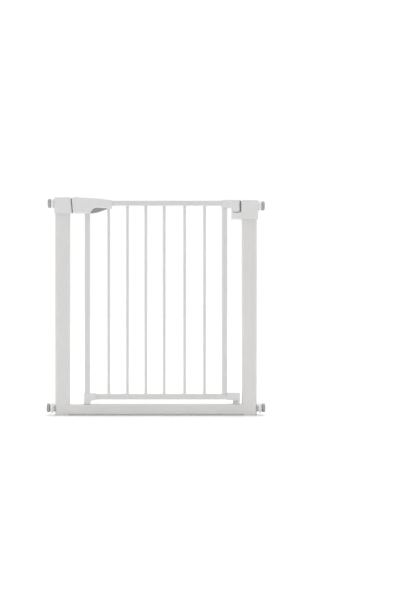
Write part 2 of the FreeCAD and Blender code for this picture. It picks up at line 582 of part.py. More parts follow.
# --- hinge cap
CAP_X = (234.5, 299.0)
CAP_Z = (732.8, 760.2)
CAP_HY = 13.0
arm = prism([(CAP_X[0], -CAP_HY, 3.0), (KNUCKLE_X1, -CAP_HY, 7.0), (KNUCKLE_X1, CAP_HY, 7.0), (CAP_X[0], CAP_HY, 3.0)], "xy", CAP_Z[0], CAP_Z[1])
arm = round_edges(arm, 1.8, lambda e: e.BoundBox.ZLength < 1e-6)
knuckle = prism([(269.0, -CAP_HY, 3.0), (KNUCKLE_X1, -CAP_HY, 7.0), (KNUCKLE_X1, CAP_HY, 7.0), (269.0, CAP_HY, 3.0)], "xy", 705.0, CAP_Z[0] + 6.0)
knuckle = knuckle.common(Part.makeSphere(DOME_R, V(AXIS_X, 0, DOME_Z)))
cap = fuse(arm, knuckle)
hollow = box(255.5, 274.5, -CAP_HY + 2.5, CAP_HY - 2.5, CAP_Z[0] + 2.5, CAP_Z[1] - 2.5)
cap = cap.cut(hollow)
cap_screws = [(264.5, 747.0), (286.0, 753.0)]
f, r = boss_pair(264.5, 747.0, CAP_HY, CAP_HY - 1, CAP_HY - 1, 4.0)
cap = fuse(cap, f, r)
cap = cap.cut(box(200, POST_X + h + 0.1, -h - 0.1, h + 0.1, tz0 - 0.1, tz1 + 0.1))
cap = cap.cut(box(POST_X - h - 0.1, POST_X + h + 0.1, -h - 0.1, h + 0.1, 700, tz0 + 1))
cap = cap.cut(d_bar(PIN_R + 0.02, 2.62, 700, 745.05))
front, rear = front_of(cap), rear_of(cap)
for x, z in cap_screws:
    cf, cr = screw_cuts(x, z, CAP_HY)
    front, rear = front.cut(cf), rear.cut(cr)
save("hinge_cap_front", front)
save("hinge_cap_rear", rear)
save("hinge_cap_screws", Part.makeCompound([screw(x, z, CAP_HY) for x, z in cap_screws]))
hp = d_bar(PIN_R, 2.6, 695.2, 745.0)
save("upper_hinge_pin", hp)

# --- fitting at the foot of the hinge side: a sleeve over the rail's end and a skirt beside the collar
FIT_X = (252.6, 297.5)
FIT_Z = (50.0, 76.0)
FIT_HY = 11.5
fit = prism([(FIT_X[0], -FIT_HY, 2.0), (FIT_X[1], -FIT_HY, 4.0), (FIT_X[1], FIT_HY, 4.0), (FIT_X[0], FIT_HY, 2.0)], "xy", FIT_Z[0], FIT_Z[1])
fit = round_edges(fit, 1.5, lambda e: e.BoundBox.ZMin > FIT_Z[1] - 0.1)
skirt = prism([(FLAT_X + 0.15, -FIT_HY), (FIT_X[1], -FIT_HY, 4.0), (FIT_X[1], FIT_HY, 4.0), (FLAT_X + 0.15, FIT_HY)], "xy", 37.2, 52.0)
fit = fuse(fit, skirt)
fit = fit.cut(box(200, BOTTOM_RAIL_X1 + 0.1, -h - 0.1, h + 0.1, bz0 - 0.1, bz1 + 0.1))
hex_big = [(AXIS_X + 7.62 * math.cos(math.radians(60 * i + 30)), 7.62 * math.sin(math.radians(60 * i + 30))) for i in range(6)]
# the hexagon runs out through the skirt, so that the fitting can rise on its collar
fit = fit.cut(prism(hex_big, "xy", 30, 66.6).common(box(200, FLAT_X + 3.2, -20, 20, 30, 70)))
fit = fit.cut(cyl(PIN_R + 0.4, (AXIS_X, 0, 40), (0, 0, 1), 33.0))
fit_screw = (262.0, 62.0)
fit = fit.cut(cyl(3.3, (fit_screw[0], FIT_HY - 1.6, fit_screw[1]), (0, 1, 0), 10))
fit = fit.cut(cyl(1.6, (fit_screw[0], h - 1, fit_screw[1]), (0, 1, 0), 10))
save("lower_hinge_fitting", fit)

# --- latch foot: a sleeve over the rail's other end with the tooth that drops into the catch
LF_X = (-255.1, -213.5)
foot = prism([(LF_X[0], 37.2), (-233.4, 37.2), (-233.0, 44.0), (-228.0, 49.0), (LF_X[1], 49.0), (LF_X[1], 74.0), (LF_X[0], 74.0)], "xz", -FIT_HY, FIT_HY)
foot = round_edges(foot, 1.5, lambda e: e.BoundBox.ZMin > 48.9 or e.BoundBox.XMax < LF_X[0] + 0.1)
foot = foot.cut(box(LF_X[0] + 2.4, -200, -h - 0.1, h + 0.1, bz0 - 0.1, bz1 + 0.1))
foot = foot.cut(box(-POST_X - h - 0.1, -POST_X + h + 0.1, -h - 0.1, h + 0.1, bz1 - 1, 100))
tooth = box(-249.8, -238.2, -4.6, 4.6, 28.6, 40.0)
tooth = round_edges(tooth, 1.2, lambda e: e.BoundBox.ZMax < 28.7)
foot = fuse(foot, tooth)
lf_screw = (-225.0, 62.0)
foot = foot.cut(cyl(3.3, (lf_screw[0], FIT_HY - 1.6, lf_screw[1]), (0, 1, 0), 10))
foot = foot.cut(cyl(1.6, (lf_screw[0], h - 1, lf_screw[1]), (0, 1, 0), 10))
save("latch_foot", foot)


def fitting_screw(x, z):
    s = cyl(1.5, (x, h + 0.15, z), (0, 1, 0), 2.0).fuse(cyl(3.0, (x, FIT_HY - 1.55, z), (0, 1, 0), 1.5))
    s = s.removeSplitter()
    for w, hh in ((3.2, 0.7), (0.7, 3.2)):
        s = s.cut(box(x - w / 2, x + w / 2, FIT_HY - 0.7, FIT_HY + 3, z - hh / 2, z + hh / 2))
    return s


save("fitting_screws", Part.makeCompound([fitting_screw(*fit_screw), fitting_screw(*lf_screw)]))


# --------------------------------------------------------------- the spindles
def revolve_x(profile, side):
    """A solid turned about X from (distance outward, radius) points."""
    pts = [V(side * a, 0, r) for a, r in profile]
    w = Part.makePolygon(pts + [pts[0]])
    return Part.Face(w).revolve(V(0, 0, 0), V(1, 0, 0), 360)


for name, side, z, seat in (("upper_left", -1, UPPER_LEFT_Z, 359.9), ("upper_right", 1, UPPER_RIGHT_Z, 361.6),
                            ("lower_left", -1, LOWER_Z, 361.9), ("lower_right", 1, LOWER_Z, 361.9)):
    face = abs(PAD_FACE[name])
    rod_in = 320.0 if name.startswith("upper") else 316.0
    rod = cyl(SPINDLE_R, (side * rod_in, 0, z), (side, 0, 0), face - 4.6 - rod_in)
    rod = rod.makeChamfer(0.7, [e for e in rod.Edges if e.BoundBox.XLength < 1e-6])
    save("spindle_" + name, rod)

    # a neck that bears on the frame, and a scalloped wheel
    n0 = seat + 0.3
    n1 = n0 + NUT_W
    wheel = revolve_x([(n0, SPINDLE_R + 0.05), (n0, 13.6), (n0 + 0.6, 14.2), (n0 + 2.4, 14.2), (n0 + 2.8, NUT_R - 1.0), (n0 + 3.6, NUT_R), (n1 - 2.2, NUT_R),
                       (n1 - 0.9, NUT_R - 1.1), (n1 - 0.7, 13.6), (n1 - 1.3, 12.8), (n1 - 1.3, 9.9), (n1, 9.0), (n1, SPINDLE_R + 0.05)], side)
    notches = []
    for i in range(14):
        a = math.radians(i * 360 / 14)
        notches.append(cyl(1.5, (side * (n0 + 2.2), (NUT_R + 0.7) * math.cos(a), (NUT_R + 0.7) * math.sin(a)), (side, 0, 0), 14))
    wheel = wheel.cut(Part.makeCompound(notches))
    wheel.translate(V(0, 0, z))
    save("nut_" + name, wheel)

    # thick cup with a domed back
    p0 = face - PAD_T
    pad = revolve_x([(p0, SPINDLE_R + 0.08), (p0, 9.5), (p0 + 0.7, 11.8), (p0 + 2.0, 13.8), (p0 + 3.4, 15.1), (p0 + 4.8, 15.9), (p0 + 6.2, PAD_R), (face - 1.1, PAD_R),
                     (face - 0.4, PAD_R - 0.4), (face, PAD_R - 1.2), (face, 13.2), (face - 0.7, 12.6), (face - 0.7, 10.6), (face, 10.0), (face, 6.0), (face - 1.0, 5.0), (face - 1.0, 0.0),
                     (face - 4.4, 0.0), (face - 4.4, SPINDLE_R + 0.08)], side)
    pad.translate(V(0, 0, z))
    save("pad_" + name, pad)

allb = Part.makeCompound(list(made.values())).BoundBox
print("nodes", len(made), "overall", [round(v, 2) for v in (allb.XMin, allb.XMax, allb.YMin, allb.YMax, allb.ZMin, allb.ZMax)])
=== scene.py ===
import json
import math

import bmesh
import bpy
from mathutils import Matrix, Vector


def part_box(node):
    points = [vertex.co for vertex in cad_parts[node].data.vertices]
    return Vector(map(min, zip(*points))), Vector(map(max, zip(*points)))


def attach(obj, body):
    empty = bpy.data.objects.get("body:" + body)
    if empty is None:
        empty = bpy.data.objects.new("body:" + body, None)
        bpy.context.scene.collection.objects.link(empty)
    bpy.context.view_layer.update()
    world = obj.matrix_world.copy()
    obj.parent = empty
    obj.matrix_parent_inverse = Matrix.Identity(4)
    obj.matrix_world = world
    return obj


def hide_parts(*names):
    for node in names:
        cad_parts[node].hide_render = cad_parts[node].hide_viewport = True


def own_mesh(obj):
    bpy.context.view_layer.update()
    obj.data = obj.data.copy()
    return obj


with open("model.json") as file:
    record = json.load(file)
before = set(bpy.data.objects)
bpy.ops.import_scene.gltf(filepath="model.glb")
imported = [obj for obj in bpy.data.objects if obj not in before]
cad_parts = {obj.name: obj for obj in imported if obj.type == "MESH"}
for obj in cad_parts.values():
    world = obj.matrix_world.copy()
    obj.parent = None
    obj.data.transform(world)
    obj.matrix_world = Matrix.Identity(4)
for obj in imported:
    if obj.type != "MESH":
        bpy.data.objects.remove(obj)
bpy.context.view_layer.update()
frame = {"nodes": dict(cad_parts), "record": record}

scene = bpy.context.scene
scene.view_settings.view_transform = "Standard"
scene.view_settings.look = "None"
scene.view_settings.exposure = 0.0
scene.view_settings.gamma = 1.0
MM = 0.001


# ------------------------------------------------------------------ materials
def new_material(name):
    m = bpy.data.materials.new(name)
    m.use_nodes = True
    nt = m.node_tree
    nt.nodes.clear()
    out = nt.nodes.new("ShaderNodeOutputMaterial")
    bsdf = nt.nodes.new("ShaderNodeBsdfPrincipled")
    nt.links.new(bsdf.outputs["BSDF"], out.inputs["Surface"])
    return m, nt, bsdf


def add(nt, kind, **props):
    n = nt.nodes.new(kind)
    for k, v in props.items():
        setattr(n, k, v)
    return n


def setin(node, **vals):
    for k, v in vals.items():
        node.inputs[k.replace("_", " ")].default_value = v
    return node


def noise(nt, scale, detail=2.0, rough=0.5, stretch=None):
    tc = add(nt, "ShaderNodeTexCoord")
    n = add(nt, "ShaderNodeTexNoise")
    n.inputs["Scale"].default_value = scale
    n.inputs["Detail"].default_value = detail
    n.inputs["Roughness"].default_value = rough
    if stretch:
        mp = add(nt, "ShaderNodeMapping")
        mp.inputs["Scale"].default_value = stretch
        nt.links.new(tc.outputs["Object"], mp.inputs["Vector"])
        nt.links.new(mp.outputs["Vector"], n.inputs["Vector"])
    else:
        nt.links.new(tc.outputs["Object"], n.inputs["Vector"])
    return n.outputs["Fac"]


def remap(nt, fac, lo, hi, a=0.3, b=0.7):
    r = add(nt, "ShaderNodeMapRange")
    r.inputs["From Min"].default_value = a
    r.inputs["From Max"].default_value = b
    r.inputs["To Min"].default_value = lo
    r.inputs["To Max"].default_value = hi
    nt.links.new(fac, r.inputs["Value"])
    return r.outputs["Result"]


def tint(nt, fac, dark, light, a=0.3, b=0.7):
    r = add(nt, "ShaderNodeValToRGB")
    r.color_ramp.elements[0].position = a
    r.color_ramp.elements[1].position = b
    r.color_ramp.elements[0].color = (*dark, 1)
    r.color_ramp.elements[1].color = (*light, 1)
    nt.links.new(fac, r.inputs["Fac"])
    return r.outputs["Color"]


def mixf(nt, a, b, op="ADD", k=None):
    n = add(nt, "ShaderNodeMath", operation=op)
    nt.links.new(a, n.inputs[0])
    if k is None:
        nt.links.new(b, n.inputs[1])
    else:
        n.inputs[1].default_value = k
    return n.outputs[0]


def bump(nt, bsdf, height, distance, strength=1.0):
    b = add(nt, "ShaderNodeBump")
    b.inputs["Strength"].default_value = strength
    b.inputs["Distance"].default_value = distance
    nt.links.new(height, b.inputs["Height"])
    nt.links.new(b.outputs["Normal"], bsdf.inputs["Normal"])
    return b


def powder_coat(name, base, rough=0.36, spec=0.45, underside_shade=None):
    """Thermoset powder coat on steel: faint orange peel about 1.5 mm across, fine texture under it, soft cloudy tone.
    The last argument, when given, is painted shade: a dark grey for the faces that look down at the floor, so that the
    slit under the bottom bar reads as a dark contact shadow; a streaky noise varies that grey."""
    m, nt, p = new_material(name)
    cloud = noise(nt, 9.0, 3.0, 0.55)
    peel = noise(nt, 620.0, 2.0, 0.45)
    fine = noise(nt, 2600.0, 2.0, 0.5)
    dark = tuple(c * 0.975 for c in base)
    colour = tint(nt, cloud, dark, base, 0.35, 0.65)
    # painted shade: faces looking down at the floor get a dark grey that stands in for the shadow under the bar
    if underside_shade:
        geo = add(nt, "ShaderNodeNewGeometry")
        axis = add(nt, "ShaderNodeSeparateXYZ")
        nt.links.new(geo.outputs["True Normal"], axis.inputs[0])
        down = add(nt, "ShaderNodeMapRange")
        down.inputs["From Min"].default_value = -0.80
        down.inputs["From Max"].default_value = -0.97
        nt.links.new(axis.outputs["Z"], down.inputs["Value"])
        underside_shade_mix = add(nt, "ShaderNodeMix")
        underside_shade_mix.data_type = "RGBA"
        nt.links.new(down.outputs["Result"], underside_shade_mix.inputs[0])
        nt.links.new(colour, underside_shade_mix.inputs[6])
        nt.links.new(tint(nt, noise(nt, 140.0, 3.0, 0.6, (0.15, 1.0, 1.0)), tuple(c * 0.7 for c in underside_shade), underside_shade, 0.3, 0.7), underside_shade_mix.inputs[7])
        colour = underside_shade_mix.outputs[2]
    nt.links.new(colour, p.inputs["Base Color"])
    nt.links.new(remap(nt, peel, rough - 0.05, rough + 0.06), p.inputs["Roughness"])
    height = mixf(nt, mixf(nt, peel, None, "MULTIPLY", 0.8), mixf(nt, fine, None, "MULTIPLY", 0.2))
    bump(nt, p, height, 0.00006, 0.55)
    p.inputs["Specular IOR Level"].default_value = spec
    p.inputs["Coat Weight"].default_value = 0.12
    p.inputs["Coat Roughness"].default_value = 0.22
    return m


def moulded(name, base, rough=0.42, grain=1500.0, depth=0.00004, spec=0.45, coat=0.0, vary=0.985):
    """Injection-moulded plastic: spark-eroded satin grain, flow marks too faint to read except as tone."""
    m, nt, p = new_material(name)
    flow = noise(nt, 26.0, 2.0, 0.5, (1.0, 1.0, 0.35))
    cells = add(nt, "ShaderNodeTexVoronoi")
    cells.inputs["Scale"].default_value = grain
    tc = add(nt, "ShaderNodeTexCoord")
    nt.links.new(tc.outputs["Object"], cells.inputs["Vector"])
    fine = noise(nt, grain * 1.9, 2.0, 0.55)
    dark = tuple(c * vary for c in base)
    nt.links.new(tint(nt, flow, dark, base, 0.35, 0.65), p.inputs["Base Color"])
    nt.links.new(remap(nt, fine, rough - 0.05, rough + 0.07), p.inputs["Roughness"])
    height = mixf(nt, mixf(nt, cells.outputs["Distance"], None, "MULTIPLY", 0.6), mixf(nt, fine, None, "MULTIPLY", 0.4))
    bump(nt, p, height, depth, 0.5)
    p.inputs["Specular IOR Level"].default_value = spec
    if coat:
        p.inputs["Coat Weight"].default_value = coat
        p.inputs["Coat Roughness"].default_value = 0.12
    return m


def rubber(name, base, rough=0.72):
    """Moulded rubber: matt, with a dusty bloom in random patches."""
    m, nt, p = new_material(name)
    bloom = noise(nt, 70.0, 4.0, 0.6)
    fine = noise(nt, 2200.0, 3.0, 0.6)
    dark = tuple(c * 0.82 for c in base)
    light = tuple(min(1.0, c * 1.12) for c in base)
    nt.links.new(tint(nt, bloom, dark, light, 0.3, 0.72), p.inputs["Base Color"])
    nt.links.new(remap(nt, bloom, rough - 0.06, rough + 0.1), p.inputs["Roughness"])
    bump(nt, p, fine, 0.00007, 0.5)
    p.inputs["Specular IOR Level"].default_value = 0.3
    return m


def soft_touch(name, base):
    """Soft-touch overmould with a leather-like spark grain."""
    m, nt, p = new_material(name)
    cells = add(nt, "ShaderNodeTexVoronoi", feature="DISTANCE_TO_EDGE")
    cells.inputs["Scale"].default_value = 900.0
    tc = add(nt, "ShaderNodeTexCoord")
    nt.links.new(tc.outputs["Object"], cells.inputs["Vector"])
    fine = noise(nt, 2400.0, 2.0, 0.5)
    dark = tuple(c * 0.86 for c in base)
    nt.links.new(tint(nt, cells.outputs["Distance"], dark, base, 0.0, 0.25), p.inputs["Base Color"])
    nt.links.new(remap(nt, fine, 0.55, 0.7), p.inputs["Roughness"])
    bump(nt, p, cells.outputs["Distance"], 0.00012, 0.6)
    p.inputs["Specular IOR Level"].default_value = 0.35
    p.inputs["Sheen Weight"].default_value = 0.15
    p.inputs["Sheen Roughness"].default_value = 0.5
    return m


def plated(name, base, rough=0.28, brushed=(1.0, 1.0, 1.0), depth=0.00002, spangle=300.0):
    """Bright zinc or chrome plate over drawn steel, with drawing lines and slight clouding."""
    m, nt, p = new_material(name)
    lines = noise(nt, spangle, 3.0, 0.6, brushed)
    cloud = noise(nt, 160.0, 3.0, 0.6)
    dark = tuple(c * 0.86 for c in base)
    nt.links.new(tint(nt, cloud, dark, base, 0.3, 0.7), p.inputs["Base Color"])
    nt.links.new(remap(nt, lines, rough - 0.08, rough + 0.1), p.inputs["Roughness"])
    bump(nt, p, lines, depth, 0.5)
    p.inputs["Metallic"].default_value = 1.0
    return m


WHITE_STEEL = (0.735, 0.728, 0.717)
WHITE_PLASTIC = (0.755, 0.755, 0.752)
mats = {
    # painted shade: the frame's undersides are coloured dark grey to read as the contact shadow under the bottom bar
    "painted_frame": powder_coat("powder_coat_frame", WHITE_STEEL, underside_shade=(0.13, 0.13, 0.128)),
    "painted_leaf": powder_coat("powder_coat_leaf", tuple(c * 0.97 for c in WHITE_STEEL), 0.38),
    "foot_plug": moulded("foot_plug_polymer", (0.62, 0.62, 0.61), 0.55, 1300.0),
    "catch_plastic": moulded("catch_nylon", (0.60, 0.60, 0.59), 0.46),
    "zinc_steel": plated("zinc_plated_steel", (0.62, 0.62, 0.63), 0.30, (1.0, 1.0, 0.1)),
    "screw_steel": plated("screw_zinc", (0.60, 0.60, 0.61), 0.27, (1.0, 0.3, 1.0), spangle=900.0),
    "spring_steel": plated("spring_wire", (0.50, 0.50, 0.51), 0.32, (0.2, 1.0, 1.0)),
    "casing_plastic": moulded("casing_abs", WHITE_PLASTIC, 0.40),
    "handle_plastic": moulded("handle_abs", WHITE_PLASTIC, 0.38),
    "fitting_plastic": moulded("fitting_nylon", tuple(c * 0.985 for c in WHITE_PLASTIC), 0.44),
    # partly painted shade: the strike is a real part, and its dark grey stands in for the shade of the narrow gap
    # beside the latch casing
    "strike_plastic": moulded("strike_nylon_gap_shade", (0.19, 0.19, 0.19), 0.5),
    "bush_plastic": moulded("bush_acetal", (0.66, 0.66, 0.67), 0.34, 1800.0),
    # partly painted shade: the grip web's dark grey carries the shade inside the recess under the handle as well as the
    # insert's own grey
    "grip_rubber": soft_touch("grip_soft_touch_recess_shade", (0.36, 0.36, 0.36)),
    "latch_nylon": moulded("latch_nylon_dark", (0.12, 0.12, 0.12), 0.45),
    "button_plastic": moulded("button_abs", tuple(c * 1.01 for c in WHITE_PLASTIC), 0.30, 1700.0, 0.00002, 0.5, 0.2),
    "spindle_chrome": plated("spindle_plate", (0.70, 0.70, 0.71), 0.20, (1.0, 0.2, 0.2)),
    "nut_plastic": moulded("nut_acetal", (0.81, 0.81, 0.81), 0.26, 1900.0, 0.00002, 0.5, 0.3),
    "pad_rubber": rubber("pad_rubber_grey", (0.42, 0.42, 0.415)),
}
slot_of = {sp["node"]: sp["material_slot"] for sp in frame["record"]["subparts"]}
for node, obj in frame["nodes"].items():
    m = mats[slot_of[node]]
    if not obj.material_slots:
        obj.data.materials.append(m)
    for s in obj.material_slots:
        s.material = m


# --------------------------------------------------------------- mesh helpers
def mesh_object(name, verts, faces, slot, smooth=True):
    me = bpy.data.meshes.new(name)
    me.from_pydata([Vector(v) for v in verts], [], faces)
    me.validate(clean_customdata=False)
    bm = bmesh.new()
    bm.from_mesh(me)
    bmesh.ops.remove_doubles(bm, verts=bm.verts, dist=1e-7)
    bmesh.ops.recalc_face_normals(bm, faces=bm.faces)
    bm.to_mesh(me)
    bm.free()
    for p in me.polygons:
        p.use_smooth = smooth
    o = bpy.data.objects.new(name, me)
    scene.collection.objects.link(o)
    me.materials.append(mats[slot])
    return o


def grid_faces(nu, nv, close_u=False, close_v=True, start=0):
    """Faces of a grid of nu rows and nv columns, rows joined end to end if close_u."""
    faces = []
    for i in range(nu if close_u else nu - 1):
        for j in range(nv if close_v else nv - 1):
            a = start + i * nv + j
            b = start + i * nv + (j + 1) % nv
            c = start + ((i + 1) % nu) * nv + (j + 1) % nv
            d = start + ((i + 1) % nu) * nv + j
            faces.append((a, b, c, d))
    return faces


def smooth_profile(points, rounds, seg=4):
    """Round the corners of a closed 2-D profile. rounds holds a radius for each point."""
    out = []
    n = len(points)
    for i, (p, r) in enumerate(zip(points, rounds)):
        p = Vector(p)
        if r <= 0:
            out.append(p)
            continue
        a, b = Vector(points[i - 1]), Vector(points[(i + 1) % n])
        d1, d2 = (a - p), (b - p)
        t = min(r, d1.length * 0.45, d2.length * 0.45)
        d1.normalize()
        d2.normalize()
        s, e = p + d1 * t, p + d2 * t
        for k in range(seg + 1):
            u = k / seg
            out.append(s * (1 - u) ** 2 + p * 2 * u * (1 - u) + e * u ** 2)
    return out


# ------------------------------------------------------------ wall fixings
SPINDLES = {"upper_left": (-1, 752.5, 359.9), "upper_right": (1, 743.5, 361.6),
            "lower_left": (-1, 25.5, 361.9), "lower_right": (1, 25.5, 361.9)}
PITCH = 1.5


def threaded_rod(name, side, z):
    """Rolled M10 thread on the outer part of the rod; the part that stays in its sleeve is plain."""
    lo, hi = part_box("spindle_" + name)
    a, b = sorted((abs(lo[0]) / MM, abs(hi[0]) / MM))
    t0, t1 = a + 16.0, b - 4.3
    cols = 28
    xs = [(a, 4.15), (a + 0.7, 4.86), (t0 - 0.6, 4.86)]
    n = int((t1 - t0) / 0.2)
    rows = [(x, r, 0.0) for x, r in xs]
    for i in range(n + 1):
        x = t0 + (t1 - t0) * i / n
        fade = min(1.0, (x - t0) / 1.5, (t1 - x) / 1.0)
        rows.append((x, 4.86, max(0.0, fade)))
    rows += [(t1 + 0.5, 4.86, 0.0), (b - 0.7, 4.86, 0.0), (b, 4.15, 0.0)]
    verts = []
    for x, r, k in rows:
        for j in range(cols):
            th = 2 * math.pi * j / cols
            rr = r
            if k > 0:
                t = (side * x / PITCH - th / (2 * math.pi)) % 1.0
                v = abs(2 * t - 1)
                h = min(1.0, max(0.0, (v - 0.16) / 0.62))
                rr = r - k * 0.72 * (h * h * (3 - 2 * h))
            verts.append((side * x * MM, rr * math.cos(th) * MM, (z + rr * math.sin(th)) * MM))
    faces = grid_faces(len(rows), cols)
    faces.append(tuple(range(cols)))
    last = (len(rows) - 1) * cols
    faces.append(tuple(last + j for j in range(cols)))
    o = mesh_object("threaded_rod_" + name, verts, faces, "spindle_chrome")
    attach(o, "spindle_" + name)
    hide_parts("spindle_" + name)
    return o


def ring_solid(name, profile, side, z, cols, slot, wobble=None):
    """A closed solid turned about the spindle's axis. profile is closed, of (distance outward, radius) in mm."""
    verts = []
    for x, r in profile:
        for j in range(cols):
            th = 2 * math.pi * j / cols
            rr = r - (wobble(x, r, th) if wobble else 0.0)
            verts.append((side * x * MM, rr * math.cos(th) * MM, (z + rr * math.sin(th)) * MM))
    return mesh_object(name, verts, grid_faces(len(profile), cols, close_u=True), slot)


def hand_nut(name, side, z, seat):
    n0 = seat + 0.3
    n1 = n0 + 12.2
    pts = [(n0, 5.05), (n0, 13.9), (n0 + 2.5, 14.1), (n0 + 2.9, 17.9), (n1 - 0.9, 17.9), (n1 - 0.7, 14.4), (n1 - 1.6, 12.8), (n1 - 1.6, 10.0),
           (n1, 9.2), (n1, 5.9), (n1 - 0.6, 5.05)]
    rounds = [0, 0.5, 0.4, 1.5, 1.6, 0.6, 0.7, 0.7, 0.7, 0.4, 0]
    prof = smooth_profile(pts, rounds)
    # a few more rows across the gripped rim
    dense = []
    for i, p in enumerate(prof):
        q = prof[(i + 1) % len(prof)]
        dense.append(p)
        gap = (q - p).length
        k = int(gap / 1.1)
        for m in range(1, k):
            dense.append(p + (q - p) * m / k)
    lobes = 14

    def wobble(x, r, th):
        w = min(1.0, max(0.0, (r - 14.2) / 2.6))
        c = 0.5 + 0.5 * math.cos(lobes * th)
        return w * 1.25 * c ** 3

    o = ring_solid("hand_nut_" + name, dense, side, z, lobes * 12, "nut_plastic", wobble)
    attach(o, "nut_" + name)
    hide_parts("nut_" + name)
    return o


def turned_closed(name, profile, side, z, cols, slot, wobble=None):
    """A solid turned about the spindle's axis whose profile starts and ends on that axis."""
    verts, faces = [], []
    first, last = profile[0], profile[-1]
    rows = profile[1:-1]
    for x, r in rows:
        for j in range(cols):
            th = 2 * math.pi * j / cols
            rr = r - (wobble(x, r, th) if wobble else 0.0)
            verts.append((side * x * MM, rr * math.cos(th) * MM, (z + rr * math.sin(th)) * MM))
    faces = grid_faces(len(rows), cols)
    for (x, _), row in ((first, 0), (last, len(rows) - 1)):
        k = len(verts)
        verts.append((side * x * MM, 0.0, z * MM))
        faces += [(k, row * cols + j, row * cols + (j + 1) % cols) for j in range(cols)]
    return mesh_object(name, verts, faces, slot)


def wall_cup(name, side, z):
    lo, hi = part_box("pad_" + name)
    face = max(abs(lo[0]), abs(hi[0])) / MM
    p0 = face - 10.5
    pts = [(face - 4.4, 0.0), (face - 4.4, 5.0), (p0, 5.0), (p0, 11.6), (p0 + 0.5, 13.4), (p0 + 1.4, 14.7), (p0 + 2.6, 15.6), (p0 + 4.2, 16.1), (p0 + 6.2, 16.2), (p0 + 6.9, 15.7), (p0 + 7.7, 15.7),
           (p0 + 8.3, 16.2), (face - 1.6, 16.1), (face, 15.2), (face, 14.9), (face - 0.5, 14.6), (face - 0.5, 14.0), (face, 13.7), (face, 13.0), (face - 0.7, 12.6), (face - 0.7, 10.6),
           (face, 10.0), (face, 6.0), (face - 1.0, 5.0), (face - 1.0, 0.0)]
    rounds = [0, 0, 0, 0.6, 0.8, 0.8, 0.8, 0.8, 0.4, 0.3, 0.3, 0.4, 0.5, 0.4, 0.2, 0.2, 0.3, 0.3, 0.3, 0.4, 0.4, 0.4, 0.4, 0.4, 0]
    prof = smooth_profile(pts, rounds, 3)

    # moulded ribs down the cup's flank
    def wobble(x, r, th):
        w = max(0.0, 1 - abs(x - (p0 + 3.6)) / 2.4) if r > 9 else 0.0
        return w * 0.35 * (0.5 + 0.5 * math.cos(24 * th)) ** 2

    o = turned_closed("wall_cup_" + name, prof, side, z, 144, "pad_rubber", wobble)
    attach(o, "pad_" + name)
    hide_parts("pad_" + name)
    return o


for name, (side, z, seat) in SPINDLES.items():
    threaded_rod(name, side, z)
    hand_nut(name, side, z, seat)
    wall_cup(name, side, z)


# ------------------------------------------------------------- weld beads
def swept_bead(points, radius, cols=10, ripple=0.12, pitch=1.7, taper=True):
    """A rippled bead along a path of points in mm. Returns vertices and faces."""
    pts = [Vector(p) for p in points]
    length = [0.0]
    for a, b in zip(pts, pts[1:]):
        length.append(length[-1] + (b - a).length)
    total = length[-1]
    step = pitch / 5
    n = max(8, int(total / step))
    verts = []
    rows = []
    k = 0
    for i in range(n + 1):
        s = total * i / n
        while k < len(pts) - 2 and length[k + 1] < s:
            k += 1
        u = (s - length[k]) / max(1e-9, length[k + 1] - length[k])
        c = pts[k].lerp(pts[k + 1], u)
        d = (pts[min(k + 2, len(pts) - 1)] - pts[max(k - 1, 0)]).normalized()
        up = Vector((0, 0, 1)) if abs(d.z) < 0.9 else Vector((1, 0, 0))
        e1 = d.cross(up).normalized()
        e2 = d.cross(e1).normalized()
        end = min(1.0, min(s, total - s) / (radius * 1.2) + 0.12) if taper else 1.0
        r = radius * (1 + ripple * math.cos(2 * math.pi * s / pitch)) * end ** 0.5
        rows.append(len(verts))
        for j in range(cols):
            th = 2 * math.pi * j / cols
            verts.append(c + (e1 * math.cos(th) + e2 * math.sin(th)) * r)
    faces = grid_faces(len(rows), cols)
    faces.append(tuple(range(cols)))
    faces.append(tuple((len(rows) - 1) * cols + j for j in range(cols)))
    return verts, faces


def ring_bead(cx, z, sgn, r_bar, leg, cols=72, ripples=21, phase=0.0):
    """A small fillet bead round a bar where it meets a rail. sgn is +1 where the rail is above."""
    prof = [(r_bar - 0.35, -leg), (r_bar + 0.12, -leg), (r_bar + leg * 0.34, -leg * 0.62), (r_bar + leg * 0.68, -leg * 0.30), (r_bar + leg, 0.0), (r_bar + leg, 0.25), (r_bar - 0.35, 0.25)]
    verts = []
    for i, (r, h) in enumerate(prof):
        for j in range(cols):
            th = 2 * math.pi * j / cols
            w = 0.10 * math.cos(ripples * th + phase) + 0.08 * math.sin(3 * th + phase * 1.7)
            k = 1.0 if i in (2, 3) else (0.6 if i in (1, 4) else 0.0)
            rr = r + w * k
            verts.append(Vector((cx + rr * math.cos(th), rr * math.sin(th), z + sgn * h)))
    return verts, grid_faces(len(prof), cols, close_u=True)


def collect(name, parts, slot, body):
    verts, faces = [], []
    for v, f in parts:
        off = len(verts)
        verts += [Vector(p) * MM for p in v]
        faces += [tuple(i + off for i in q) for q in f]
    o = mesh_object(name, verts, faces, slot)
    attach(o, body)
    return o


bars = []
for i in range(1, 7):
    lo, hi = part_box("bar_%d" % i)
    bars.append((lo[0] + hi[0]) / 2 / MM)
rail_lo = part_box("top_rail")[0][2] / MM
rail_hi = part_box("bottom_rail")[1][2] / MM
parts = []
for i, x in enumerate(bars):
    if i > 0:
        parts.append(ring_bead(x, rail_lo, 1, 5.0, 1.35, phase=i * 1.3))
    parts.append(ring_bead(x, rail_hi, -1, 5.0, 1.35, phase=i * 2.1 + 0.5))
collect("bar_weld_beads", parts, "painted_leaf", "leaf")

